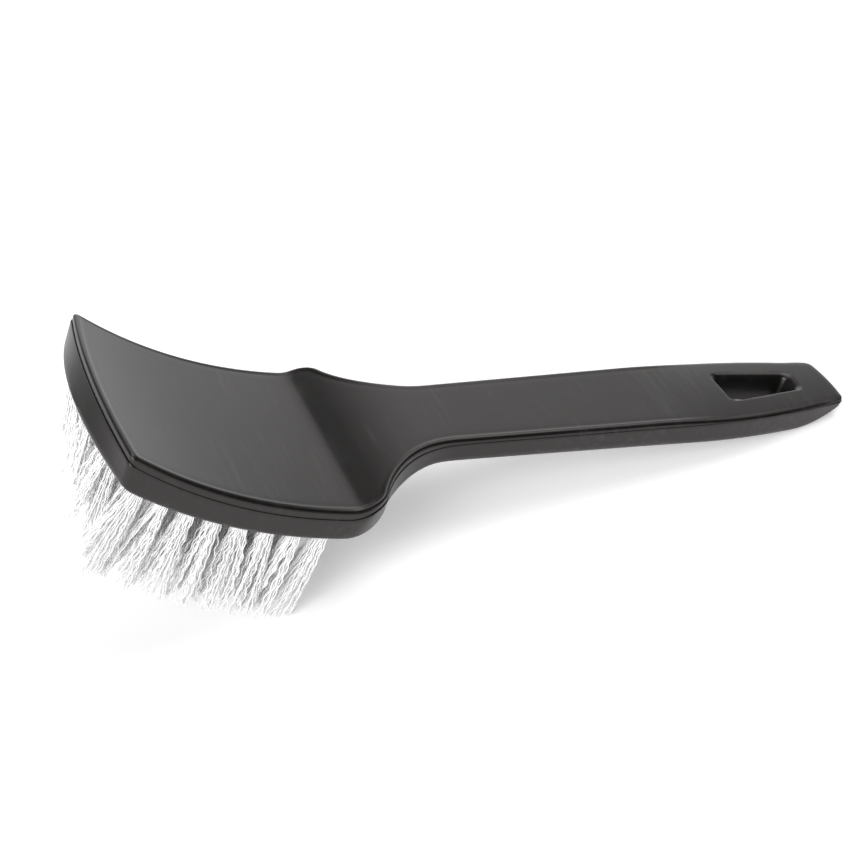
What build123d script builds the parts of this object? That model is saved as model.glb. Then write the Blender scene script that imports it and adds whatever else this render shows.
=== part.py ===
from build123d import *
from math import cos, degrees, radians, sin, tan
import os

os.makedirs("parts", exist_ok=True)

# Wheel brush: one moulded block, bristle tufts in blind holes, and the flat wire
# anchors that hold the tufts. Millimetres. The brush stands as it lies at rest:
# +X runs to the end of the handle, +Y across it, +Z up, and Z = 0 is the floor
# that the bristle tips and the heel of the handle touch.

# Block, seen from the side
HEAD_ARC_X = -11.3
HEAD_ARC_Z = 165.7
TOP_ARC_RADIUS = 140.0
UNDER_ARC_RADIUS = 150.0
ARC_FREE_ANGLE = 53.0
TOP_CREASE_ANGLE = 16.5
UNDER_CREASE_ANGLE = 15.5
TOP_HUMP_X = -32.6
TOP_HUMP_Z = 34.45
TOP_SLOPE = 9.86
UNDER_HUMP_X = -24.0
UNDER_SLOPE = 10.4
HEEL_START_X = 106.0
HEEL_RADIUS = 34.0
SIDE_END_X = 142.0
TOP_CREASE_FILLET = 9.0
TOP_HUMP_FILLET = 60.0
UNDER_CREASE_FILLET = 25.0
UNDER_HUMP_FILLET = 40.0

# Block, seen along the direction it leaves its mould
MOULD_TILT = 18.0
HEAD_HALF_WIDTH = 37.0
HEAD_END_X = -129.1
HEAD_END_BOW = 3.4
SHOULDER_X = -21.6
SHOULDER_Y = 45.65
SHOULDER_RADIUS = 30.0
GRIP_FLARE = 1.06
GRIP_WIDEST_X = 62.0
NOSE_X = 121.0
NOSE_HALF_WIDTH = 11.3
NOSE_BOW = 1.9
HEAD_CORNER_FILLET = 3.4
SHOULDER_FILLET = 5.0
NOSE_CORNER_FILLET = 3.5
SLAB_HALF_WIDTH = 50.0
MOULD_REACH = 260.0

# Edges
RIM_DEPTH = 2.8
LEDGE = 0.45
RIM_FILLET = 1.5
UNDER_FILLET = 1.1

# Hanging hole
HOLE_START_X = 79.8
HOLE_LENGTH = 26.2
HOLE_HALF_WIDE = 7.0
HOLE_HALF_NARROW = 3.7
HOLE_CORNER_FILLET = 2.4
HOLE_LIP_FILLET = 1.4
HOLE_UNDER_FILLET = 0.9

# Bristle tufts
TUFT_LEAN = 28.0
TUFT_PITCH = 8.5
FIRST_TUFT_ANGLE = 19.6
LONG_ROW_TUFTS = 8
ROW_LETTERS = "abcdefg"
ROW_PITCH = 11.0
TUFT_HOLE_RADIUS = 2.5
TUFT_HOLE_DEPTH = 6.6
TUFT_ROOT_RADIUS = 2.44
TUFT_ROOT_DEPTH = 6.5
TUFT_TIP_RADIUS = 3.7
TUFT_TRIM = 28.0
TUFT_SPARE = 8.0

# Anchors
ANCHOR_WIDTH = 6.2
ANCHOR_HEIGHT = 2.0
ANCHOR_THICKNESS = 0.5
ANCHOR_DEPTH = 5.7
FIT_GAP = 0.04
ANCHOR_GROUPS = {
    "anchor_plates_outer_rows": "ag",
    "anchor_plates_second_rows": "bf",
    "anchor_plates_third_rows": "ce",
    "anchor_plates_middle_row": "d",
}

tilt = radians(MOULD_TILT)
mould_way = Vector(sin(tilt), 0, cos(tilt))
mould_plane = Plane(origin=(0, 0, 0), x_dir=(cos(tilt), 0, -sin(tilt)), z_dir=mould_way)
lean = radians(TUFT_LEAN)
tuft_way = Vector(-sin(lean), 0, -cos(lean))
heel_z = HEEL_RADIUS * (1 - cos(radians(UNDER_SLOPE)))
heel_low_x = HEEL_START_X + HEEL_RADIUS * sin(radians(UNDER_SLOPE))
under_hump_z = heel_z + (HEEL_START_X - UNDER_HUMP_X) * tan(radians(UNDER_SLOPE))
top_end_z = TOP_HUMP_Z - (SIDE_END_X - TOP_HUMP_X) * tan(radians(TOP_SLOPE))


def on_arc(radius, angle):
    """A point on one of the head's arcs, angle degrees left of straight down."""
    a = radians(angle)
    return (HEAD_ARC_X - radius * sin(a), HEAD_ARC_Z - radius * cos(a))


def nearest(shapes, x, y):
    """The one of some vertices that lies nearest to x, y."""
    return min(shapes, key=lambda v: (v.X - x) ** 2 + (v.Y - y) ** 2)


def outer_edges(shape, sign):
    """Edges round the upward (sign 1) or downward (sign -1) faces, less their seams."""
    faces = [f for f in shape.faces() if sign * f.normal_at(f.center()).Z > 0.5]
    edges = [e for f in faces for e in f.edges()]
    return [e for e in edges if sum(1 for o in edges if o.is_same(e)) == 1]


def hole_edges(shape, sign):
    """Edges of the hanging hole on the top (sign 1) or on the underside (sign -1)."""
    rings = [e for e in outer_edges(shape, sign) if abs(e.center().Y) < HOLE_HALF_WIDE + 2]
    low_x = HOLE_START_X * cos(tilt)
    high_x = low_x + HOLE_LENGTH + HEEL_RADIUS / 4
    return [e for e in rings if low_x < e.center().X < high_x]


def draw_side():
    """Side view of the block, longer than the block at both ends."""
    top_free = on_arc(TOP_ARC_RADIUS, ARC_FREE_ANGLE)
    top_mid = on_arc(TOP_ARC_RADIUS, (ARC_FREE_ANGLE + TOP_CREASE_ANGLE) / 2)
    top_crease = on_arc(TOP_ARC_RADIUS, TOP_CREASE_ANGLE)
    under_free = on_arc(UNDER_ARC_RADIUS, ARC_FREE_ANGLE)
    under_mid = on_arc(UNDER_ARC_RADIUS, (ARC_FREE_ANGLE + UNDER_CREASE_ANGLE) / 2)
    under_crease = on_arc(UNDER_ARC_RADIUS, UNDER_CREASE_ANGLE)
    half_turn = radians(UNDER_SLOPE / 2)
    heel_mid_x = heel_low_x - HEEL_RADIUS * sin(half_turn)
    heel_mid_z = HEEL_RADIUS * (1 - cos(half_turn))
    ThreePointArc(top_free, top_mid, top_crease)
    Polyline(top_crease, (TOP_HUMP_X, TOP_HUMP_Z), (SIDE_END_X, top_end_z))
    Line((SIDE_END_X, top_end_z), (SIDE_END_X, 0))
    Line((SIDE_END_X, 0), (heel_low_x, 0))
    ThreePointArc((heel_low_x, 0), (heel_mid_x, heel_mid_z), (HEEL_START_X, heel_z))
    Polyline((HEEL_START_X, heel_z), (UNDER_HUMP_X, under_hump_z), under_crease)
    ThreePointArc(under_crease, under_mid, under_free)
    Line(under_free, top_free)


def draw_outline_side(side, inset):
    """One long edge of the block's outline, on the +Y (side 1) or -Y (side -1) half."""
    width = HEAD_HALF_WIDTH - inset
    radius = SHOULDER_RADIUS + inset
    reach = (radius**2 - (SHOULDER_Y - width) ** 2) ** 0.5
    shoulder = (SHOULDER_X - reach, side * width)
    diagonal = radius * cos(radians(45))
    bend = (SHOULDER_X - diagonal, side * (SHOULDER_Y - diagonal))
    flare = radians(GRIP_FLARE)
    neck_x = SHOULDER_X + radius * sin(flare)
    neck_y = SHOULDER_Y - radius * cos(flare)
    neck = (neck_x, side * neck_y)
    grip = (GRIP_WIDEST_X, side * (neck_y + (GRIP_WIDEST_X - neck_x) * tan(flare)))
    nose = (NOSE_X - inset, side * (NOSE_HALF_WIDTH - inset))
    Line((HEAD_END_X + inset, side * width), shoulder)
    ThreePointArc(shoulder, bend, neck)
    Line(neck, grip)
    TangentArc(grip, nose, tangent=(cos(flare), side * sin(flare)))


def draw_outline(inset):
    """Outline along the direction the block leaves its mould, drawn in by inset."""
    width = HEAD_HALF_WIDTH - inset
    end_x = HEAD_END_X + inset
    nose_x = NOSE_X - inset
    nose_y = NOSE_HALF_WIDTH - inset
    ThreePointArc((end_x, width), (end_x - HEAD_END_BOW, 0), (end_x, -width))
    draw_outline_side(1, inset)
    draw_outline_side(-1, inset)
    ThreePointArc((nose_x, nose_y), (nose_x + NOSE_BOW, 0), (nose_x, -nose_y))


def round_outline(inset):
    """Round the six corners of the outline that is being drawn."""
    width = HEAD_HALF_WIDTH - inset
    head = [v for v in vertices() if abs(abs(v.Y) - width) < 0.01]
    fillet([v for v in head if v.X > HEAD_END_X / 2], SHOULDER_FILLET - inset)
    head = [v for v in vertices() if abs(v.X - HEAD_END_X - inset) < 0.01]
    fillet(head, HEAD_CORNER_FILLET - inset)
    nose = [v for v in vertices() if abs(v.X - NOSE_X + inset) < 0.01]
    fillet(nose, NOSE_CORNER_FILLET - inset)


def tuft_angles(row):
    """Angles on the underside arc of one row's tufts: long and short rows alternate."""
    step = degrees(TUFT_PITCH / UNDER_ARC_RADIUS)
    short = row % 2
    count = LONG_ROW_TUFTS - short
    return [FIRST_TUFT_ANGLE + step * (i + short / 2) for i in range(count)]


def tuft_plane(place, depth):
    """Plane across a tuft, depth inside the underside, facing out along the tuft."""
    row, angle = tuft_places[place]
    x, z = on_arc(UNDER_ARC_RADIUS, angle)
    y = (row - (len(ROW_LETTERS) - 1) / 2) * ROW_PITCH
    origin = Vector(x, y, z) - tuft_way * depth
    return Plane(origin=origin, x_dir=(0, 1, 0), z_dir=tuft_way)


def save(part, label):
    """Name a finished piece and write its STEP file."""
    part.label = label
    export_step(part, f"parts/{label}.step")


tuft_places = {}
for row_number, row_letter in enumerate(ROW_LETTERS):
    for tuft_number, tuft_angle in enumerate(tuft_angles(row_number), start=1):
        tuft_places[f"{row_letter}{tuft_number}"] = (row_number, tuft_angle)

with BuildSketch(Plane.XZ) as side_view:
    with BuildLine():
        draw_side()
    make_face()
    bends = vertices()
    fillet(nearest(bends, *on_arc(TOP_ARC_RADIUS, TOP_CREASE_ANGLE)), TOP_CREASE_FILLET)
    bends = vertices()
    fillet(nearest(bends, TOP_HUMP_X, TOP_HUMP_Z), TOP_HUMP_FILLET)
    bends = vertices()
    fillet(nearest(bends, *on_arc(UNDER_ARC_RADIUS, UNDER_CREASE_ANGLE)), UNDER_CREASE_FILLET)
    bends = vertices()
    fillet(nearest(bends, UNDER_HUMP_X, under_hump_z), UNDER_HUMP_FILLET)

with BuildSketch(mould_plane) as outline:
    with BuildLine():
        draw_outline(0)
    make_face()
    round_outline(0)

with BuildSketch(mould_plane) as rim_outline:
    with BuildLine():
        draw_outline(LEDGE)
    make_face()
    round_outline(LEDGE)

with BuildSketch(mould_plane) as hole_outline:
    with BuildLine():
        hole_end_x = HOLE_START_X + HOLE_LENGTH
        Polyline(
            (HOLE_START_X, HOLE_HALF_WIDE),
            (hole_end_x, HOLE_HALF_NARROW),
            (hole_end_x, -HOLE_HALF_NARROW),
            (HOLE_START_X, -HOLE_HALF_WIDE),
            close=True,
        )
    make_face()
    fillet(vertices(), HOLE_CORNER_FILLET)

with BuildSketch(mould_plane) as hole_rim_outline:
    add(hole_outline.sketch_local)
    offset(amount=LEDGE, mode=Mode.REPLACE)

with BuildSketch(Plane.XZ) as under_nose:
    with BuildLine():
        Polyline(
            (heel_low_x, -HEEL_RADIUS),
            (heel_low_x + 2 * HEEL_RADIUS, -HEEL_RADIUS),
            (heel_low_x + 2 * HEEL_RADIUS, HEEL_RADIUS),
            (heel_low_x, HEEL_RADIUS),
            close=True,
        )
    make_face()
    with Locations((heel_low_x, HEEL_RADIUS)):
        Circle(HEEL_RADIUS, mode=Mode.SUBTRACT)

lowered_side_view = Pos(-mould_way * RIM_DEPTH) * side_view.sketch

# The band round the top: inside the ledge, with the rounded rim.
with BuildPart() as upper_band:
    extrude(side_view.sketch, amount=SLAB_HALF_WIDTH, both=True)
    extrude(rim_outline.sketch, amount=MOULD_REACH, both=True, mode=Mode.INTERSECT)
    fillet(outer_edges(upper_band.part, 1), RIM_FILLET)
    extrude(hole_rim_outline.sketch, amount=MOULD_REACH, both=True, mode=Mode.SUBTRACT)
    fillet(hole_edges(upper_band.part, 1), HOLE_LIP_FILLET)

# The body below the ledge, as wide as the outline.
with BuildPart() as lower_body:
    extrude(side_view.sketch, amount=SLAB_HALF_WIDTH, both=True)
    extrude(lowered_side_view, amount=SLAB_HALF_WIDTH, both=True, mode=Mode.INTERSECT)
    extrude(outline.sketch, amount=MOULD_REACH, both=True, mode=Mode.INTERSECT)
    fillet(outer_edges(lower_body.part, -1), UNDER_FILLET)
    extrude(hole_outline.sketch, amount=MOULD_REACH, both=True, mode=Mode.SUBTRACT)
    fillet(hole_edges(lower_body.part, -1), HOLE_UNDER_FILLET)


with BuildPart() as brush_block:
    add(upper_band.part)
    add(lower_body.part)
    extrude(under_nose.sketch, amount=SLAB_HALF_WIDTH, both=True, mode=Mode.SUBTRACT)
    with Locations(*[tuft_plane(p, TUFT_HOLE_DEPTH) for p in tuft_places]):
        Cylinder(
            TUFT_HOLE_RADIUS,
            2 * TUFT_HOLE_DEPTH,
            align=(Align.CENTER, Align.CENTER, Align.MIN),
            mode=Mode.SUBTRACT,
        )
    for place in tuft_places:
        with BuildSketch(tuft_plane(place, ANCHOR_DEPTH)):
            Rectangle(ANCHOR_THICKNESS + 2 * FIT_GAP, ANCHOR_WIDTH + 2 * FIT_GAP)
        extrude(amount=ANCHOR_HEIGHT + FIT_GAP, mode=Mode.SUBTRACT)
save(brush_block.part, "brush_block")

# Everything above the floor and inside the curve that the bristle tips are cut to.
with BuildPart() as trimmed_space:
    tip_arc_x = HEAD_ARC_X + tuft_way.X * TUFT_TRIM
    tip_arc_z = HEAD_ARC_Z + tuft_way.Z * TUFT_TRIM
    with BuildSketch(Plane.XZ.offset(-SLAB_HALF_WIDTH)):
        with Locations((tip_arc_x, tip_arc_z)):
            Circle(UNDER_ARC_RADIUS)
        with Locations((tip_arc_x, -UNDER_ARC_RADIUS)):
            Rectangle(4 * UNDER_ARC_RADIUS, 2 * UNDER_ARC_RADIUS, mode=Mode.SUBTRACT)
    extrude(amount=2 * SLAB_HALF_WIDTH)

spread = TUFT_TIP_RADIUS - TUFT_ROOT_RADIUS
free_length = TUFT_TRIM + TUFT_SPARE
free_radius = TUFT_ROOT_RADIUS + spread * free_length / TUFT_TRIM
for place in tuft_places:
    with BuildPart() as bristle_tuft:
        with BuildSketch(tuft_plane(place, TUFT_ROOT_DEPTH)):
            Circle(TUFT_ROOT_RADIUS)
        extrude(amount=TUFT_ROOT_DEPTH)
        with BuildSketch(tuft_plane(place, 0)):
            Circle(TUFT_ROOT_RADIUS)
        with BuildSketch(tuft_plane(place, -free_length)):
            Circle(free_radius)
        loft()
        add(trimmed_space.part, mode=Mode.INTERSECT)
        with BuildSketch(tuft_plane(place, ANCHOR_DEPTH + FIT_GAP)):
            Rectangle(ANCHOR_THICKNESS + 2 * FIT_GAP, ANCHOR_WIDTH)
        extrude(amount=ANCHOR_HEIGHT + 2 * FIT_GAP, mode=Mode.SUBTRACT)
    save(bristle_tuft.part, f"bristle_tuft_{place}")

for label, letters in ANCHOR_GROUPS.items():
    with BuildPart() as anchor_plates:
        for place in tuft_places:
            if place[0] in letters:
                with BuildSketch(tuft_plane(place, ANCHOR_DEPTH)):
                    Rectangle(ANCHOR_THICKNESS, ANCHOR_WIDTH)
                extrude(amount=ANCHOR_HEIGHT)
    save(anchor_plates.part, label)
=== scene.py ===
import math

import bmesh
import bpy
import numpy as np
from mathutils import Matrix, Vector


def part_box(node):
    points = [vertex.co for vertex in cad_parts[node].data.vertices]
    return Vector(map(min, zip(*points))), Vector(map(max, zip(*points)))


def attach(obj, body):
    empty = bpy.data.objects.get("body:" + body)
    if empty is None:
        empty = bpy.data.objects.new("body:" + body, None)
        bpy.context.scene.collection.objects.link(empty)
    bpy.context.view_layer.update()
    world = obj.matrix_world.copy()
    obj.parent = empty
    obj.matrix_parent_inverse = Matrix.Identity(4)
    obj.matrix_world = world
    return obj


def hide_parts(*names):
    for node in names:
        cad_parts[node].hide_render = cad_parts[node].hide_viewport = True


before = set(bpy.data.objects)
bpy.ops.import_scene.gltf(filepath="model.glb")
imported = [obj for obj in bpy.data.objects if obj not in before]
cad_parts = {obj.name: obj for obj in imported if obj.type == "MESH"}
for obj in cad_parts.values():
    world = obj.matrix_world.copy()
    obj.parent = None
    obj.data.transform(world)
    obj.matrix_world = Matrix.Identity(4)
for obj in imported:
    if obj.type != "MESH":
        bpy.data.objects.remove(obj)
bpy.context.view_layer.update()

# Wheel brush: one moulded block in black plastic with crimped white bristle tufts.
# Metres. +X runs to the end of the handle and the floor is at Z = 0.

MM = 0.001

# Block, in millimetres and radians. u runs along the handle and w up along the way the
# block leaves its mould, which leans from the vertical by MOULD_TILT.
MOULD_TILT = math.radians(18)
HEAD_ARC_CENTRE = (-11.3, 165.7)
TOP_ARC_RADIUS = 140.0
UNDER_ARC_RADIUS = 150.0
ARC_FREE_ANGLE = math.radians(60)
TOP_CREASE_ANGLE = math.radians(16.5)
UNDER_CREASE_ANGLE = math.radians(15.5)
TOP_HUMP = (-32.6, 34.45)
TOP_SLOPE = math.radians(9.86)
UNDER_HUMP_X = -24.0
UNDER_SLOPE = math.radians(10.4)
HEEL_START_X = 106.0
HEEL_RADIUS = 34.0
SIDE_END_X = 150.0
TOP_CUTS = (2.05, 11.5)
UNDER_CUTS = (4.9, 6.05)
HEAD_HALF_WIDTH = 37.0
HEAD_END = -129.1
SHOULDER = (-21.6, 45.65)
SHOULDER_RADIUS = 30.0
GRIP_FLARE = math.radians(1.06)
GRIP_WIDEST = 62.0
NOSE = 119.7
NOSE_HALF_WIDTH = 11.4
NOSE_BOW = 0.6
NOSE_RISE = 1.0
NOSE_RISE_START, NOSE_RISE_END = 112.0, 119.0

# Where the head's depth gives way to the neck's
NECK_START, NECK_END = -48.0, -14.0

# Depth of the ledge below the top on the head, how much less it is on the neck and at the
# nose, and the least it keeps from the underside and from the top
LEDGE_DEPTH = 2.8
NECK_LEDGE_RISE = 1.1
NOSE_LEDGE_RISE = 0.25
NOSE_LEDGE_START, NOSE_LEDGE_END = 70.0, 90.0
LEDGE_ABOVE_UNDER = 0.45
LEDGE_BELOW_TOP = 1.1

# Radius of the edge round the underside on the head, how much more it is on the neck and
# less on the handle, and the depth of wall below which it shrinks
UNDER_EDGE = 1.4
NECK_EDGE_GROWTH = 1.2
HANDLE_EDGE_LOSS = 0.4
HANDLE_EDGE_START, HANDLE_EDGE_END = 40.0, 80.0
FULL_EDGE_WALL = 6.0
LEAST_EDGE_SHARE = 0.12

# How far the head's end bows out, at the rim and at the underside
RIM_BOW = 3.4
UNDER_BOW = 6.6

# Corner cuts of the outline: head corner, shoulder, nose
CREST_CUTS = (0.9, 3.6, 1.5)
LEDGE_CUTS = (1.9, 6.0, 2.1)
UNDER_CUTS_OUTLINE = (2.2, 10.5, 2.6)

# Rim: a low bead just inside the edge, which fades out towards the end of the handle and
# gives way to a rolled edge and a crowned top
LEDGE = 0.3
FLAT_INSET = 5.5
CREST_INSET = 1.85
CREST_HEIGHT = 0.12
DIP_INSET = 3.1
DIP_DEPTH = 0.04
RIM_DROP = 1.4
ROLL_INSET = 2.7
ROLL_DROP = 1.0
NOSE_ROLL_LOSS = 0.6
NOSE_ROLL_START, NOSE_ROLL_END = 108.0, 116.0
BEAD_WIDTH = 0.42
DIP_WIDTH = 0.75
CROWN = 0.0022
CROWN_START, CROWN_END = 48.0, 80.0
RIM_INSETS = (5.5, 4.5, 3.8, 3.3, 2.9, 2.55, 2.3, 2.07, 1.85, 1.6, 1.35, 1.1, 0.87, 0.66, 0.5, 0.36, LEDGE)
RIM_ABOVE_LEDGE = 0.06

# Edge of the ledge as (inset, drop), and the wall below it
LEDGE_EDGE = ((LEDGE, 0), (0.14, 0), (0.04, 0.04), (0, 0.14))
WALL_DROP = 0.14
WALL_SHARES = np.linspace(0.15, 1, 7)
UNDER_REFERENCE = 2.6
UNDER_FLAT_INSET = 4.0
FILLET_STEPS = 5
CROSS_STEPS = 14

# Hanging hole
HOLE_START, HOLE_END = 79.5, 106.0
HOLE_HALF_WIDE, HOLE_HALF_NARROW = 7.0, 3.7
HOLE_OFFSET = 0.7
HOLE_CORNER_CUT = 1.9
HOLE_CORNER_GROWTH = 0.9
LIP_REACH, LIP_DEPTH = 2.6, 1.7
UNDER_LIP = 1.2

# How much narrower the hole is at the underside than at the top
HOLE_DRAFT = 1.3

# Turns round the two lips, and how far the cutter goes on past them
LIP_TURNS = np.radians((75, 60, 45, 30, 15, 0))
UNDER_LIP_TURNS = np.radians((0, 25, 50, 75))
LIP_CLEARANCE = ((LIP_REACH + 2.0, 3.0), (LIP_REACH * 0.74 + 1.2, 0.75))
UNDER_CLEARANCE = (-0.9, -4.0)

# Blind holes for the tufts
TUFT_HOLE_RADIUS = 2.5
TUFT_HOLE_DEPTH = 6.6
TUFT_HOLE_SIDES = 28
TUFT_HOLE_CLEARANCE = 3.0

# Edges that turn by more than this stay sharp
SHARP_EDGE = math.radians(38)

# Tufts
TUFT_LEAN = math.radians(28)
ROOT_RADIUS = 2.44 * MM
ROOT_DEPTH = 6.5 * MM
FREE_LENGTH = 28 * MM
TRIM_RADIUS = 150 * MM
HEAD_CENTRE_X = HEAD_ARC_CENTRE[0] * MM
HEAD_CENTRE_Z = HEAD_ARC_CENTRE[1] * MM

# Bristles
BRISTLE_RADIUS = 0.21 * MM
BRISTLE_SPACING = 0.5 * MM
BRISTLE_SIDES = 4
ANCHOR_HALF_THICKNESS = 0.25 * MM
FREE_POINTS = 30
CRIMP_LENGTH = 4.7 * MM
CRIMP_HEIGHT = 0.3 * MM
TIP_SPREAD = 2.8
CLUMPS = 9
CLUMP_MIXING = 1.2e-6
GATHER = (0.35, 0.75)
CLUMP_WANDER = 0.9 * MM
TIP_WANDER = 0.28 * MM
STRAY_SHARE = 0.06
STRAY_WANDER = 1.3 * MM
ROW_SPLAY = 0.5 * MM
TRIM_SCATTER = 1.1 * MM
CLUMP_CURL = 0.55 * MM
STRAND_CURL = 0.15 * MM
PHASE_SCATTER = 0.9
TURN_SCATTER = 0.7
CRIMP_LENGTH_RANGE = (0.85, 1.2)
CRIMP_HEIGHT_RANGE = (0.6, 1.3)
CRIMP_START = 0.12
SPLAY_POWER = 1.2
TRIED_LENGTHS = np.linspace(0.6, 1.3, 60)

# Millimetres by which a bristle's place is off the grid, and off its own other end
PLACE_SCATTER = 0.06
PAIR_SCATTER = 0.03

# Fold round the anchor: share of the width kept, and depth below the block's surface
FOLD = ((1, 2.6 * MM), (1, 4.6 * MM), (0.9, 5.6 * MM), (0.45, 6.1 * MM))
FOLD_BEND = 0.12 * MM

TUFT_PREFIX = "bristle_tuft_"

# The lean of each tuft along its row, nearest the handle first, in degrees
ROW_LEANS = (36, 31, 27, 26, 27, 28, 28, 24)

# How much more the tufts at the head's end lean in the front row than in the middle one
END_FAN = 14
END_FAN_PLACES = (4, 7)

# Light from all round: the way to each patch, and its brightness by the cosine of the
# angle from that way. The patches are the main light at the front left, a weak one overhead,
# one that draws the highlights on the rim, and one behind that the handle's top reflects.
WORLD_PATCHES = (
    ((-0.68, -0.55, 0.48), ((0.86, 0.0), (0.92, 0.6), (0.97, 1.0), (1.0, 1.0))),
    ((-0.3, 0.1, 0.95), ((0.87, 0.0), (0.93, 0.1), (1.0, 0.15))),
    ((0.4, 0.25, 0.88), ((0.9, 0.0), (0.95, 0.4), (1.0, 0.75))),
    ((0.36, 0.85, 0.38), ((0.88, 0.0), (0.94, 0.06), (0.98, 0.18), (1.0, 0.22))),
)

# A pale band above the horizon: brightness by height, and by place from front to back
HORIZON_HEIGHT = ((0.0, 0.15), (0.2, 0.14), (0.35, 0.04), (0.45, 0.0))
HORIZON_DEPTH = ((0.0, 0.0), (0.5, 1.0), (1.0, 1.0))


def node_material(name):
    """A new material, its shader and its node tree."""
    material = bpy.data.materials.new(name)
    material.use_nodes = True
    tree = material.node_tree
    return material, tree.nodes["Principled BSDF"], tree


def link(tree, source, target):
    """Join an output socket to an input socket."""
    tree.links.new(source, target)


def object_pattern(tree, stretch=(1, 1, 1)):
    """Object coordinates scaled by stretch, for the patterns that follow."""
    coordinates = tree.nodes.new("ShaderNodeTexCoord")
    mapping = tree.nodes.new("ShaderNodeMapping")
    mapping.inputs["Scale"].default_value = stretch
    link(tree, coordinates.outputs["Object"], mapping.inputs["Vector"])
    return mapping.outputs["Vector"]


def noise(tree, vector, scale, detail=2.0, roughness=0.5):
    """A noise pattern, scale in features per metre."""
    node = tree.nodes.new("ShaderNodeTexNoise")
    node.inputs["Scale"].default_value = scale
    node.inputs["Detail"].default_value = detail
    node.inputs["Roughness"].default_value = roughness
    link(tree, vector, node.inputs["Vector"])
    return node.outputs["Fac"]


def ramp(tree, factor, stops):
    """A colour ramp with stops of (position, colour)."""
    node = tree.nodes.new("ShaderNodeValToRGB")
    elements = node.color_ramp.elements
    while len(elements) < len(stops):
        elements.new(0.5)
    for element, (position, colour) in zip(elements, stops):
        element.position = position
        element.color = (*colour, 1)
    link(tree, factor, node.inputs["Fac"])
    return node.outputs["Color"]


def grey(value):
    """A grey colour."""
    return (value, value, value)


def spread(tree, factor, low, high, start=0.3, end=0.7):
    """Factor between start and end, spread from low to high."""
    node = tree.nodes.new("ShaderNodeMapRange")
    node.inputs["From Min"].default_value = start
    node.inputs["From Max"].default_value = end
    node.inputs["To Min"].default_value = low
    node.inputs["To Max"].default_value = high
    link(tree, factor, node.inputs["Value"])
    return node.outputs["Result"]


def bump(tree, height, strength, distance, below=None):
    """A bump over an earlier one."""
    node = tree.nodes.new("ShaderNodeBump")
    node.inputs["Strength"].default_value = strength
    node.inputs["Distance"].default_value = distance
    link(tree, height, node.inputs["Height"])
    if below is not None:
        link(tree, below, node.inputs["Normal"])
    return node.outputs["Normal"]


def mix(tree, factor, first, second, blend="MIX"):
    """Two colours mixed by a factor."""
    node = tree.nodes.new("ShaderNodeMix")
    node.data_type = "RGBA"
    node.blend_type = blend
    for value, socket in ((factor, node.inputs[0]), (first, node.inputs[6]), (second, node.inputs[7])):
        if isinstance(value, (int, float, tuple)):
            socket.default_value = value
        else:
            link(tree, value, socket)
    return node.outputs[2]


def black_plastic():
    """Moulded black plastic: fine grain, faint flow streaks and a dull sheen."""
    material, shader, tree = node_material("moulded_black_plastic")
    plain = object_pattern(tree)
    streaks = object_pattern(tree, (1.0, 0.06, 1.0))
    cloud = noise(tree, plain, 28, 4, 0.6)
    streak = noise(tree, streaks, 420, 5, 0.65)
    speck = noise(tree, plain, 2600, 2, 0.6)
    grain = noise(tree, plain, 5200, 2, 0.7)
    base = ramp(tree, cloud, [(0.3, (0.0042, 0.004, 0.0038)), (0.7, (0.0068, 0.0065, 0.0062))])
    veil = ramp(tree, streak, [(0.5, grey(0.0)), (0.85, grey(0.03))])
    veil = mix(tree, ramp(tree, cloud, [(0.45, grey(0.0)), (0.62, grey(1.0))]), (0, 0, 0, 1), veil)
    colour = mix(tree, 1.0, base, veil, "ADD")
    link(tree, colour, shader.inputs["Base Color"])
    dull = spread(tree, speck, 0.3, 0.37)
    link(tree, dull, shader.inputs["Roughness"])
    shader.inputs["Specular Tint"].default_value = (1.0, 0.935, 0.92, 1)
    normal = bump(tree, grain, 0.25, 0.03 * MM)
    normal = bump(tree, streak, 0.08, 0.05 * MM, normal)
    link(tree, normal, shader.inputs["Normal"])
    return material


def white_bristle():
    """White crimped plastic filament."""
    material, shader, tree = node_material("white_bristle")
    along = object_pattern(tree, (1.0, 1.0, 0.2))
    tint = noise(tree, along, 900, 3, 0.6)
    colour = ramp(tree, tint, [(0.3, (0.92, 0.915, 0.92)), (0.7, (0.985, 0.985, 0.985))])
    link(tree, colour, shader.inputs["Base Color"])
    link(tree, spread(tree, tint, 0.34, 0.5), shader.inputs["Roughness"])
    shader.inputs["Subsurface Weight"].default_value = 0.3
    shader.inputs["Subsurface Radius"].default_value = (1.0, 1.0, 1.0)
    shader.inputs["Subsurface Scale"].default_value = 0.4 * MM
    return material


def steel_wire():
    """Cut edge of flat steel wire."""
    material, shader, tree = node_material("anchor_steel")
    drawn = object_pattern(tree, (1.0, 1.0, 0.1))
    mark = noise(tree, drawn, 6000, 3, 0.6)
    colour = ramp(tree, mark, [(0.3, (0.42, 0.41, 0.4)), (0.7, (0.58, 0.575, 0.565))])
    link(tree, colour, shader.inputs["Base Color"])
    link(tree, spread(tree, mark, 0.25, 0.45), shader.inputs["Roughness"])
    shader.inputs["Metallic"].default_value = 1.0
    link(tree, bump(tree, mark, 0.2, 0.01 * MM), shader.inputs["Normal"])
    return material


def floor_material():
    """Pale matte studio floor."""
    material, shader, tree = node_material("studio_floor")
    pattern = noise(tree, object_pattern(tree), 40, 3, 0.5)
    colour = ramp(tree, pattern, [(0.3, (0.90, 0.898, 0.9)), (0.7, (0.915, 0.913, 0.915))])
    link(tree, colour, shader.inputs["Base Color"])
    shader.inputs["Roughness"].default_value = 0.8
    shader.inputs["Specular IOR Level"].default_value = 0.2
    shader.inputs["Emission Color"].default_value = (1, 0.99, 0.995, 1)
    shader.inputs["Emission Strength"].default_value = 0.34
    return material


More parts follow.
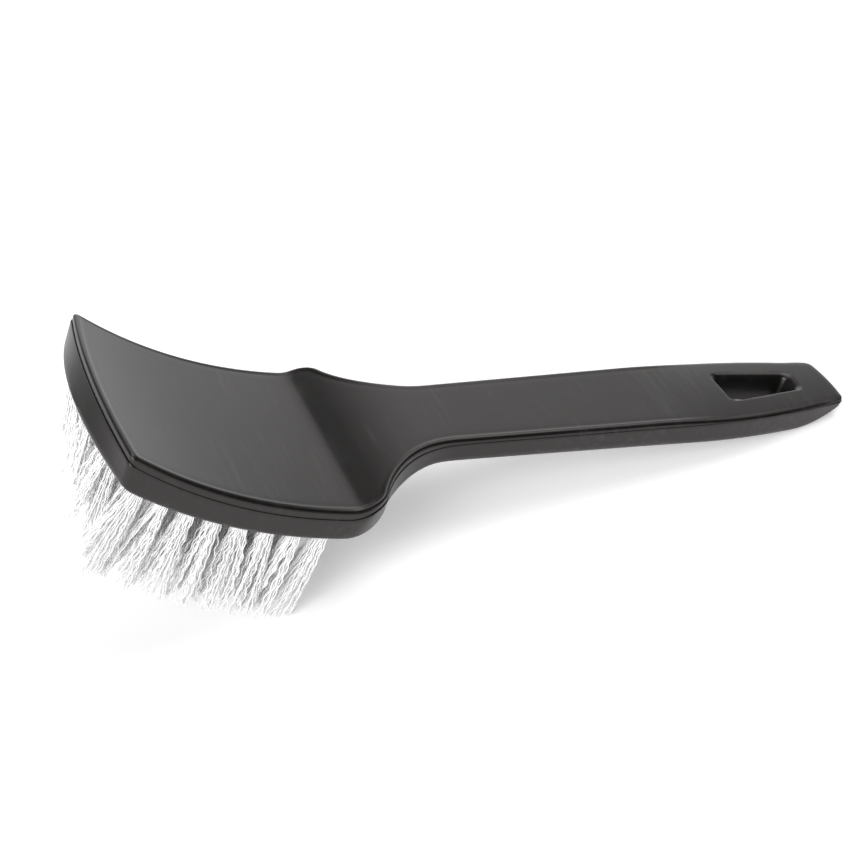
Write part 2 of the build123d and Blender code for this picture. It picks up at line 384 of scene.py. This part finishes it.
tuft_way = np.array([-math.sin(TUFT_LEAN), 0, -math.cos(TUFT_LEAN)])
row_way = np.array([0, 1.0, 0])
along_row = np.cross(row_way, tuft_way)


def tuft_root(node):
    """The middle of a tuft where it leaves the block."""
    low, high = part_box(node)
    x = high.x - ROOT_RADIUS * math.cos(TUFT_LEAN)
    z = high.z - ROOT_RADIUS * math.sin(TUFT_LEAN)
    return np.array([x, (low.y + high.y) / 2, z]) + tuft_way * ROOT_DEPTH


def to_mould(points):
    """Side view points (x, z) as (u, w)."""
    x, z = points[:, 0], points[:, 1]
    across = x * math.cos(MOULD_TILT) - z * math.sin(MOULD_TILT)
    up = x * math.sin(MOULD_TILT) + z * math.cos(MOULD_TILT)
    return np.stack([across, up], 1)


def from_mould(u, y, w):
    """Points in metres from u, y and w in millimetres."""
    x = u * math.cos(MOULD_TILT) + w * math.sin(MOULD_TILT)
    z = w * math.cos(MOULD_TILT) - u * math.sin(MOULD_TILT)
    return np.stack([x, y, z], -1) * MM


def arc(centre, radius, start, end, count=120):
    """Points on an arc, angles from straight down."""
    angle = np.linspace(start, end, count)
    return np.stack([centre[0] + radius * np.sin(angle), centre[1] - radius * np.cos(angle)], 1)


def line(start, end, count=120):
    """Points on a straight line."""
    t = np.linspace(0, 1, count)[:, None]
    return np.array(start) * (1 - t) + np.array(end) * t


def trimmed(points, start_cut, end_cut, count):
    """A line of points shortened at both ends and spaced evenly."""
    run = np.concatenate([[0], np.cumsum(np.hypot(*np.diff(points, axis=0).T))])
    at = np.linspace(start_cut, run[-1] - end_cut, count)
    return np.stack([np.interp(at, run, points[:, k]) for k in range(2)], 1)


def conic(start, corner, end, count):
    """A round bend from start to end inside a corner."""
    t = np.linspace(0, 1, count)[:, None]
    first, last = start - corner, end - corner
    inner = first @ last / (np.linalg.norm(first) * np.linalg.norm(last))
    weight = math.sqrt((1 - inner) / 2)
    shares = (1 - t) ** 2, 2 * weight * t * (1 - t), t**2
    return (shares[0] * start + shares[1] * corner + shares[2] * end) / sum(shares)


def rounded(pieces, cuts, counts, corner_count):
    """One line from pieces that meet end to end, each meeting rounded by its cut."""
    cuts = [0, *cuts, 0]
    result = []
    for i, (piece, count) in enumerate(zip(pieces, counts)):
        part = trimmed(piece, cuts[i], cuts[i + 1], count)
        if result:
            result.append(conic(result[-1][-1], piece[0], part[0], corner_count + 2)[1:-1])
        result.append(part)
    return np.concatenate(result)


def top_profile():
    """The top in the side view, as (u, w)."""
    head = arc(HEAD_ARC_CENTRE, TOP_ARC_RADIUS, -ARC_FREE_ANGLE, -TOP_CREASE_ANGLE)
    end_z = TOP_HUMP[1] - (SIDE_END_X - TOP_HUMP[0]) * math.tan(TOP_SLOPE)
    pieces = [head, line(head[-1], TOP_HUMP), line(TOP_HUMP, (SIDE_END_X, end_z))]
    return to_mould(rounded(pieces, TOP_CUTS, (200, 30, 200), 24))


def under_profile():
    """The underside in the side view, as (u, w)."""
    head = arc(HEAD_ARC_CENTRE, UNDER_ARC_RADIUS, -ARC_FREE_ANGLE, -UNDER_CREASE_ANGLE)
    heel_low = HEEL_START_X + HEEL_RADIUS * math.sin(UNDER_SLOPE)
    heel = arc((heel_low, HEEL_RADIUS), HEEL_RADIUS, -UNDER_SLOPE, math.radians(50))
    hump = (UNDER_HUMP_X, heel[0, 1] + (HEEL_START_X - UNDER_HUMP_X) * math.tan(UNDER_SLOPE))
    handle = np.concatenate([line(hump, heel[0])[:-1], heel])
    pieces = [head, line(head[-1], hump), handle]
    return to_mould(rounded(pieces, UNDER_CUTS, (200, 30, 400), 24))


def ease(value, start, end):
    """0 before start and 1 after end, smooth between."""
    t = np.clip((value - start) / (end - start), 0, 1)
    return t * t * (3 - 2 * t)


top_line = top_profile()
under_line = under_profile()


def top(u):
    """Height of the top at u."""
    return np.interp(u, top_line[:, 0], top_line[:, 1])


def under(u):
    """Height of the underside at u, which turns up sharply under the nose."""
    plain = np.interp(u, under_line[:, 0], under_line[:, 1])
    return plain + NOSE_RISE * ease(u, NOSE_RISE_START, NOSE_RISE_END)


def ledge(u):
    """Height of the ledge at u."""
    depth = LEDGE_DEPTH - NECK_LEDGE_RISE * ease(u, NECK_START, NECK_END)
    depth -= NOSE_LEDGE_RISE * ease(u, NOSE_LEDGE_START, NOSE_LEDGE_END)
    least = np.minimum(under(u) + LEDGE_ABOVE_UNDER, top(u) - LEDGE_BELOW_TOP)
    return np.maximum(top(u) - depth, least)


def under_fillet(u):
    """Radius of the edge round the underside at u."""
    radius = UNDER_EDGE + NECK_EDGE_GROWTH * ease(u, NECK_START, NECK_END)
    radius -= HANDLE_EDGE_LOSS * ease(u, HANDLE_EDGE_START, HANDLE_EDGE_END)
    return radius * np.clip((ledge(u) - under(u)) / FULL_EDGE_WALL, LEAST_EDGE_SHARE, 1)


def rim_height(inset, u, y):
    """Height of the rim above the plain top."""
    fade = ease(u, CROWN_START, CROWN_END)
    if inset >= CREST_INSET:
        bead = CREST_HEIGHT * math.exp(-(((inset - CREST_INSET) / BEAD_WIDTH) ** 2))
        bead -= DIP_DEPTH * math.exp(-(((inset - DIP_INSET) / DIP_WIDTH) ** 2))
    else:
        share = (CREST_INSET - inset) / (CREST_INSET - LEDGE)
        bead = CREST_HEIGHT - RIM_DROP * (1 - math.sqrt(max(0, 1 - share**2)))
    share = max(0, (ROLL_INSET - inset) / (ROLL_INSET - LEDGE))
    roll = -ROLL_DROP * (1 - math.sqrt(max(0, 1 - share**2)))
    roll = roll * (1 - NOSE_ROLL_LOSS * ease(u, NOSE_ROLL_START, NOSE_ROLL_END))
    if inset >= FLAT_INSET:
        bead = 0
    return bead * (1 - fade) + (roll - CROWN * y**2) * fade


def half_outline(inset, bow, cuts):
    """Outline in the mould plane on the +Y side, from the head's end to the nose."""
    width = HEAD_HALF_WIDTH - inset
    y = np.linspace(0, width, 120)
    end = np.stack([HEAD_END + inset - bow * (1 - (y / width) ** 2), y], 1)
    radius = SHOULDER_RADIUS + inset
    start = math.asin((SHOULDER[1] - width) / radius)
    turn = np.linspace(start, math.pi / 2 + GRIP_FLARE, 160)
    neck = np.stack([SHOULDER[0] - radius * np.cos(turn), SHOULDER[1] - radius * np.sin(turn)], 1)
    reach = GRIP_WIDEST - neck[-1, 0]
    grip = np.array([GRIP_WIDEST, neck[-1, 1] + reach * math.tan(GRIP_FLARE)])
    nose = np.array([NOSE - inset, NOSE_HALF_WIDTH - inset])
    ahead = np.array([math.cos(GRIP_FLARE), math.sin(GRIP_FLARE)])
    inward = np.array([math.sin(GRIP_FLARE), -math.cos(GRIP_FLARE)])
    chord = nose - grip
    bend_radius = chord @ chord / (2 * chord @ inward)
    bend = 2 * math.asin(np.linalg.norm(chord) / (2 * bend_radius))
    swing = np.linspace(0, bend, 120)[:, None]
    side = grip + bend_radius * (np.sin(swing) * ahead + (1 - np.cos(swing)) * inward)
    long_edge = np.concatenate([neck, line(neck[-1], grip)[1:], side[1:]])
    y = np.linspace(nose[1], 0, 60)
    tip = np.stack([nose[0] + NOSE_BOW * (1 - (y / nose[1]) ** 2), y], 1)
    pieces = [end, line((HEAD_END + inset, width), neck[0]), long_edge, tip]
    return rounded(pieces, cuts, (26, 44, 130, 14), 10)


def cuts_between(first, last, share):
    """Corner cuts between two sets of them."""
    return tuple(a + (b - a) * share for a, b in zip(first, last))


def block_rings():
    """Half rings (u, y, w) of the block's skin, from the flat of the top to that of the underside."""
    rings = []
    for inset in RIM_INSETS:
        share = 1 - inset / CREST_INSET if inset < CREST_INSET else 0
        u, y = half_outline(inset, RIM_BOW, cuts_between(CREST_CUTS, LEDGE_CUTS, share)).T
        rings.append((u, y, np.maximum(top(u) + rim_height(inset, u, y), ledge(u) + RIM_ABOVE_LEDGE)))
    for inset, drop in LEDGE_EDGE:
        u, y = half_outline(inset, RIM_BOW, LEDGE_CUTS).T
        rings.append((u, y, ledge(u) - drop))
    for share in WALL_SHARES:
        bow = RIM_BOW + (UNDER_BOW - RIM_BOW) * share
        u, y = half_outline(0, bow, cuts_between(LEDGE_CUTS, UNDER_CUTS_OUTLINE, share)).T
        low = under(u) + under_fillet(u)
        high = ledge(u) - WALL_DROP
        rings.append((u, y, high + (low - high) * share))
    for turn in np.linspace(0, math.pi / 2, FILLET_STEPS + 1)[1:]:
        u, y = half_outline(0, UNDER_BOW, UNDER_CUTS_OUTLINE).T
        inner_u, inner_y = half_outline(UNDER_REFERENCE, UNDER_BOW, UNDER_CUTS_OUTLINE).T
        radius = under_fillet(u)
        share = radius * (1 - math.cos(turn)) / UNDER_REFERENCE
        u, y = u + (inner_u - u) * share, y + (inner_y - y) * share
        rings.append((u, y, under(u) + radius * (1 - math.sin(turn))))
    u, y = half_outline(UNDER_FLAT_INSET, UNDER_BOW, UNDER_CUTS_OUTLINE).T
    rings.append((u, y, under(u)))
    return rings


class Skin:
    """Vertices and faces of a mesh that is being built."""

    def __init__(self):
        self.points = []
        self.faces = []

    def add(self, points):
        """Add points and return their numbers."""
        first = len(self.points)
        self.points.extend(points.tolist())
        return list(range(first, first + len(points)))

    def strip(self, first, second, closed=False):
        """Faces between two lines of points."""
        steps = len(first) if closed else len(first) - 1
        for i in range(steps):
            j = (i + 1) % len(first)
            face = (first[i], first[j], second[j], second[i])
            kept = [v for k, v in enumerate(face) if v != face[k - 1]]
            if len(kept) > 2:
                self.faces.append(kept)

    def mesh(self, name):
        """The finished mesh, with faces turned outwards."""
        mesh = bpy.data.meshes.new(name)
        mesh.from_pydata(self.points, [], self.faces)
        shape = bmesh.new()
        shape.from_mesh(mesh)
        bmesh.ops.recalc_face_normals(shape, faces=shape.faces)
        if shape.calc_volume(signed=True) < 0:
            bmesh.ops.reverse_faces(shape, faces=shape.faces)
        shape.to_mesh(mesh)
        shape.free()
        return mesh


def ring_points(ring):
    """A closed ring of points from a half ring: out along +Y and back along -Y."""
    u, y, w = ring
    back = slice(-2, 0, -1)
    return from_mould(np.append(u, u[back]), np.append(y, -y[back]), np.append(w, w[back]))


def flat_rows(skin, ring, numbers, height):
    """Fill the inside of a ring with rows of faces across the block."""
    u, y, w = ring
    last = len(u) - 1
    rows = [[numbers[0]] * (2 * CROSS_STEPS + 1)]
    for i in range(1, last):
        across = np.arange(CROSS_STEPS - 1, -CROSS_STEPS, -1) * y[i] / CROSS_STEPS
        inner = skin.add(from_mould(np.full(len(across), u[i]), across, height(u[i], across)))
        rows.append([numbers[i], *inner, numbers[2 * last - i]])
    rows.append([numbers[last]] * (2 * CROSS_STEPS + 1))
    for first, second in zip(rows, rows[1:]):
        skin.strip(first, second)


def block_skin():
    """The block without its holes."""
    skin = Skin()
    rings = block_rings()
    numbers = [skin.add(ring_points(ring)) for ring in rings]
    for first, second in zip(numbers, numbers[1:]):
        skin.strip(first, second, closed=True)
    flat_rows(skin, rings[0], numbers[0], lambda u, y: top(u) + rim_height(FLAT_INSET, u, y))
    flat_rows(skin, rings[-1], numbers[-1], lambda u, y: under(u) + 0 * y)
    return skin.mesh("moulded_block")


def hole_outline(outset):
    """Outline of the hanging hole, moved out by outset."""
    slope = (HOLE_HALF_WIDE - HOLE_HALF_NARROW) / (HOLE_END - HOLE_START)
    wide = HOLE_HALF_WIDE + outset * (1 + slope)
    narrow = HOLE_HALF_NARROW + outset * (1 - slope)
    start, end = HOLE_START - outset, HOLE_END + outset
    corners = [(start, 0), (start, wide), (end, narrow), (end, 0)]
    cut = HOLE_CORNER_CUT + outset * HOLE_CORNER_GROWTH
    pieces = [line(a, b) for a, b in zip(corners, corners[1:])]
    u, y = rounded(pieces, (cut, cut), (6, 12, 6), 8).T
    return np.append(u, u[-2:0:-1]), np.append(y, -y[-2:0:-1]) + HOLE_OFFSET


def hole_cutter():
    """The space of the hanging hole with its rounded lips."""
    skin = Skin()
    rings = [(outset, height, top) for outset, height in LIP_CLEARANCE]
    for turn in LIP_TURNS:
        reach = LIP_REACH * (1 - math.cos(turn))
        rings.append((reach, -LIP_DEPTH * (1 - math.sin(turn)), top))
    for turn in UNDER_LIP_TURNS:
        reach = UNDER_LIP * (1 - math.cos(turn)) - HOLE_DRAFT
        rings.append((reach, UNDER_LIP * (1 - math.sin(turn)), under))
    for height in UNDER_CLEARANCE:
        rings.append((UNDER_LIP + 1.0 - HOLE_DRAFT, height, under))
    numbers = []
    for outset, height, surface in rings:
        u, y = hole_outline(outset)
        numbers.append(skin.add(from_mould(u, y, surface(u) + height)))
    for first, second in zip(numbers, numbers[1:]):
        skin.strip(first, second, closed=True)
    skin.faces += [numbers[0], numbers[-1][::-1]]
    return skin.mesh("hanging_hole")


def tuft_hole_cutter(names):
    """The spaces of all the tuft holes."""
    skin = Skin()
    angle = np.arange(TUFT_HOLE_SIDES) * 2 * math.pi / TUFT_HOLE_SIDES
    circle = np.outer(np.cos(angle), along_row) + np.outer(np.sin(angle), row_way)
    for name in names:
        root = tuft_root(name)
        rings = []
        for depth in (-TUFT_HOLE_CLEARANCE, TUFT_HOLE_DEPTH):
            rings.append(skin.add(root - tuft_way * depth * MM + circle * TUFT_HOLE_RADIUS * MM))
        skin.strip(*rings, closed=True)
        skin.faces += [rings[0], rings[1][::-1]]
    return skin.mesh("tuft_holes")


def cut_away(piece, cutter):
    """Take the cutter's space out of the piece."""
    tool = bpy.data.objects.new(cutter.name, cutter)
    bpy.context.scene.collection.objects.link(tool)
    cut = piece.modifiers.new("cut", "BOOLEAN")
    cut.operation = "DIFFERENCE"
    cut.solver = "EXACT"
    cut.object = tool
    bpy.context.view_layer.update()
    result = bpy.data.meshes.new_from_object(piece.evaluated_get(bpy.context.evaluated_depsgraph_get()))
    piece.modifiers.clear()
    piece.data = result
    bpy.data.objects.remove(tool)


def add_block(material, tufts):
    """The moulded block with its rim, ledge, hanging hole and tuft holes."""
    piece = bpy.data.objects.new("moulded_block", block_skin())
    bpy.context.scene.collection.objects.link(piece)
    cut_away(piece, hole_cutter())
    cut_away(piece, tuft_hole_cutter(tufts))
    mesh = piece.data
    mesh.polygons.foreach_set("use_smooth", np.ones(len(mesh.polygons), bool))
    mesh.set_sharp_from_angle(angle=SHARP_EDGE)
    mesh.materials.clear()
    mesh.materials.append(material)
    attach(piece, "root")
    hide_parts("brush_block")


def half_disc_places(rng):
    """Places of the folded bristles in one half of a tuft's hole, on a jittered grid."""
    places = []
    reach = ROOT_RADIUS - BRISTLE_RADIUS * 1.2
    row_height = BRISTLE_SPACING * math.sqrt(3) / 2
    first = ANCHOR_HALF_THICKNESS + BRISTLE_RADIUS * 1.1
    columns = math.ceil(ROOT_RADIUS / BRISTLE_SPACING) + 1
    for row in range(math.ceil(ROOT_RADIUS / row_height)):
        y = first + row * row_height
        shift = (row % 2) * BRISTLE_SPACING / 2
        for column in range(-columns, columns + 1):
            x = column * BRISTLE_SPACING + shift
            if math.hypot(x, y) < reach:
                places.append((x, y))
    places = np.array(places)
    return places + rng.uniform(-PLACE_SCATTER, PLACE_SCATTER, places.shape) * MM


def end_paths(rng, root, roots, row_side, lean):
    """Free paths of one tuft's bristle ends from the block to their tips."""
    count = len(roots)
    clump_angle = rng.uniform(0, 2 * math.pi, CLUMPS)
    clump_reach = np.sqrt(rng.uniform(0.05, 1, CLUMPS)) * ROOT_RADIUS
    clump = np.stack([np.cos(clump_angle), np.sin(clump_angle)], 1) * clump_reach[:, None]
    distance = ((roots[:, None] - clump[None]) ** 2).sum(2)
    nearest = np.argmin(distance + rng.uniform(0, CLUMP_MIXING, (count, CLUMPS)), 1)
    gather = rng.uniform(*GATHER, count)[:, None]
    members = [roots[nearest == c] for c in range(CLUMPS)]
    middle = np.array([m.mean(0) if len(m) else (0, 0) for m in members])
    tips = TIP_SPREAD * (roots * (1 - gather) + middle[nearest] * gather)
    tips += rng.normal(0, CLUMP_WANDER, (CLUMPS, 2))[nearest]
    tips += rng.normal(0, TIP_WANDER, (count, 2))
    stray = rng.random(count) < STRAY_SHARE
    tips[stray] += rng.normal(0, STRAY_WANDER, (stray.sum(), 2))
    tips[:, 0] += FREE_LENGTH * math.tan(lean - TUFT_LEAN)
    tips[:, 1] += row_side * ROW_SPLAY
    curl = rng.normal(0, CLUMP_CURL, (CLUMPS, 2))[nearest] + rng.normal(0, STRAND_CURL, (count, 2))
    phase = rng.uniform(0, 2 * math.pi, CLUMPS)[nearest] + rng.normal(0, PHASE_SCATTER, count)
    turn = rng.uniform(0, 2 * math.pi, CLUMPS)[nearest] + rng.normal(0, TURN_SCATTER, count)
    wave = CRIMP_LENGTH * rng.uniform(*CRIMP_LENGTH_RANGE, count)
    height = CRIMP_HEIGHT * rng.uniform(*CRIMP_HEIGHT_RANGE, count)

    def points(t):
        s = t / FREE_LENGTH
        lateral = roots[:, None] + (tips - roots)[:, None] * (s**SPLAY_POWER)[..., None]
        lateral = lateral + curl[:, None] * np.sin(np.clip(s, 0, 1) * math.pi)[..., None]
        rise = np.clip(s / CRIMP_START, 0, 1)
        swing = height[:, None] * rise * np.sin(2 * math.pi * t / wave[:, None] + phase[:, None])
        lateral = lateral + swing[..., None] * np.stack([np.cos(turn), np.sin(turn)], 1)[:, None]
        place = root + t[..., None] * tuft_way
        return place + lateral[..., :1] * along_row + lateral[..., 1:] * row_way

    t = np.broadcast_to(TRIED_LENGTHS * FREE_LENGTH, (count, len(TRIED_LENGTHS)))
    tried = points(t)
    trim_x = HEAD_CENTRE_X + tuft_way[0] * FREE_LENGTH
    trim_z = HEAD_CENTRE_Z + tuft_way[2] * FREE_LENGTH
    past = np.hypot(tried[..., 0] - trim_x, tried[..., 2] - trim_z) > TRIM_RADIUS
    past |= tried[..., 2] < BRISTLE_RADIUS * 1.5
    past[:, -1] = True
    length = t[np.arange(count), past.argmax(1)] - rng.uniform(0, TRIM_SCATTER, count)
    return points(np.linspace(0, 1, FREE_POINTS)[None] * length[:, None])


def tubes(paths):
    """Vertices and faces of one closed tube along each path."""
    count, steps, _ = paths.shape
    tangent = np.gradient(paths, axis=1)
    tangent /= np.linalg.norm(tangent, axis=2, keepdims=True)
    across = along_row - (tangent @ along_row)[..., None] * tangent
    across /= np.linalg.norm(across, axis=2, keepdims=True)
    other = np.cross(tangent, across)
    angles = np.arange(BRISTLE_SIDES) * 2 * math.pi / BRISTLE_SIDES
    ring = np.cos(angles)[:, None] * across[:, :, None] + np.sin(angles)[:, None] * other[:, :, None]
    vertices = paths[:, :, None] + BRISTLE_RADIUS * ring
    index = np.arange(count * steps * BRISTLE_SIDES).reshape(count, steps, BRISTLE_SIDES)
    turned = np.roll(index, -1, axis=2)
    sides = np.stack([index[:, :-1], turned[:, :-1], turned[:, 1:], index[:, 1:]], 3)
    start = index[:, 0, ::-1]
    end = index[:, -1]
    faces = np.concatenate([sides.reshape(-1, 4), start.reshape(-1, 4), end.reshape(-1, 4)])
    return vertices.reshape(-1, 3), faces


def fold_paths(first, second, root):
    """Paths of whole bristles: tip, root, round the anchor, root, tip."""
    offset = np.outer((first[:, 0] - root) @ row_way, row_way)
    down = [first[:, 0] - depth * tuft_way - (1 - share) * offset for share, depth in FOLD]
    up = [second[:, 0] - depth * tuft_way - (1 - share) * offset for share, depth in reversed(FOLD)]
    bend = (down[-1] + up[0]) / 2 - FOLD_BEND * tuft_way
    middle = np.stack([*down, bend, *up], 1)
    return np.concatenate([first[:, ::-1], middle, second], 1)


def tuft(name, seed, row_side, lean, material):
    """One tuft of folded crimped bristles that stands for a CAD tuft."""
    rng = np.random.default_rng(seed)
    root = tuft_root(name)
    half = half_disc_places(rng)
    other = half * (1, -1) + rng.uniform(-PAIR_SCATTER, PAIR_SCATTER, half.shape) * MM
    ends = end_paths(rng, root, np.concatenate([half, other]), row_side, lean)
    vertices, faces = tubes(fold_paths(ends[: len(half)], ends[len(half):], root))
    mesh = bpy.data.meshes.new(f"{name}_bristles")
    mesh.from_pydata(vertices.tolist(), [], faces.tolist())
    mesh.polygons.foreach_set("use_smooth", np.ones(len(faces), bool))
    mesh.materials.append(material)
    piece = bpy.data.objects.new(f"{name}_bristles", mesh)
    bpy.context.scene.collection.objects.link(piece)
    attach(piece, "root")
    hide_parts(name)


def add_tufts(material, names):
    """Every tuft in its own piece."""
    labels = [name.removeprefix(TUFT_PREFIX) for name in names]
    letters = sorted({label[0] for label in labels})
    middle = (len(letters) - 1) / 2
    for seed, (name, label) in enumerate(zip(names, labels)):
        letter, number = label[0], int(label[1:])
        row = letters.index(letter)
        place = number - 1 + (row % 2) / 2
        side = (row - middle) / middle
        lean = np.interp(place, range(len(ROW_LEANS)), ROW_LEANS)
        lean -= END_FAN * side * ease(place, *END_FAN_PLACES)
        tuft(name, seed, side, math.radians(lean), material)


def use_material(node, material):
    """Give a CAD node one material."""
    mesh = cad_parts[node].data
    mesh.materials.clear()
    mesh.materials.append(material)


def add_floor():
    """A wide pale floor under the brush."""
    reach = 6.0
    mesh = bpy.data.meshes.new("studio_floor")
    corners = [(-reach, -reach, 0), (reach, -reach, 0), (reach, reach, 0), (-reach, reach, 0)]
    mesh.from_pydata(corners, [], [(0, 1, 2, 3)])
    mesh.materials.append(floor_material())
    floor = bpy.data.objects.new("studio_floor", mesh)
    bpy.context.scene.collection.objects.link(floor)


def add_world(strength):
    """Soft light from all round: the patches and the pale horizon."""
    world = bpy.data.worlds.new("studio_world")
    world.use_nodes = True
    tree = world.node_tree
    background = tree.nodes["Background"]
    coordinates = tree.nodes.new("ShaderNodeTexCoord")

    def patch(way, stops):
        facing = tree.nodes.new("ShaderNodeVectorMath")
        facing.operation = "DOT_PRODUCT"
        facing.inputs[1].default_value = Vector(way).normalized()
        link(tree, coordinates.outputs["Generated"], facing.inputs[0])
        stops = [(place, grey(brightness)) for place, brightness in stops]
        return ramp(tree, facing.outputs["Value"], stops)

    shade = mix(tree, 1.0, patch((0, 0, 1), HORIZON_HEIGHT), patch((0, 1, 0), HORIZON_DEPTH), "MULTIPLY")
    for way, stops in WORLD_PATCHES:
        shade = mix(tree, 1.0, shade, patch(way, stops), "ADD")
    link(tree, shade, background.inputs["Color"])
    background.inputs["Strength"].default_value = strength
    bpy.context.scene.world = world


def add_camera():
    """The camera, in front of the brush, to its left and above it."""
    data = bpy.data.cameras.new("camera")
    data.sensor_width = 36
    data.lens = 73.44
    data.clip_start = 0.01
    data.clip_end = 20
    camera = bpy.data.objects.new("camera", data)
    camera.location = (-0.1696, -0.3929, 0.3490)
    camera.rotation_mode = "QUATERNION"
    camera.rotation_quaternion = Vector((0.287, 0.741, -0.607)).to_track_quat("-Z", "Y")
    bpy.context.scene.collection.objects.link(camera)
    bpy.context.scene.camera = camera


tufts = sorted(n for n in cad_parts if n.startswith(TUFT_PREFIX))
add_block(black_plastic(), tufts)
steel = steel_wire()
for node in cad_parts:
    if node.startswith("anchor_plates"):
        use_material(node, steel)
add_tufts(white_bristle(), tufts)
add_floor()
add_world(5.7)
add_camera()
bpy.context.scene.view_settings.view_transform = "Standard"
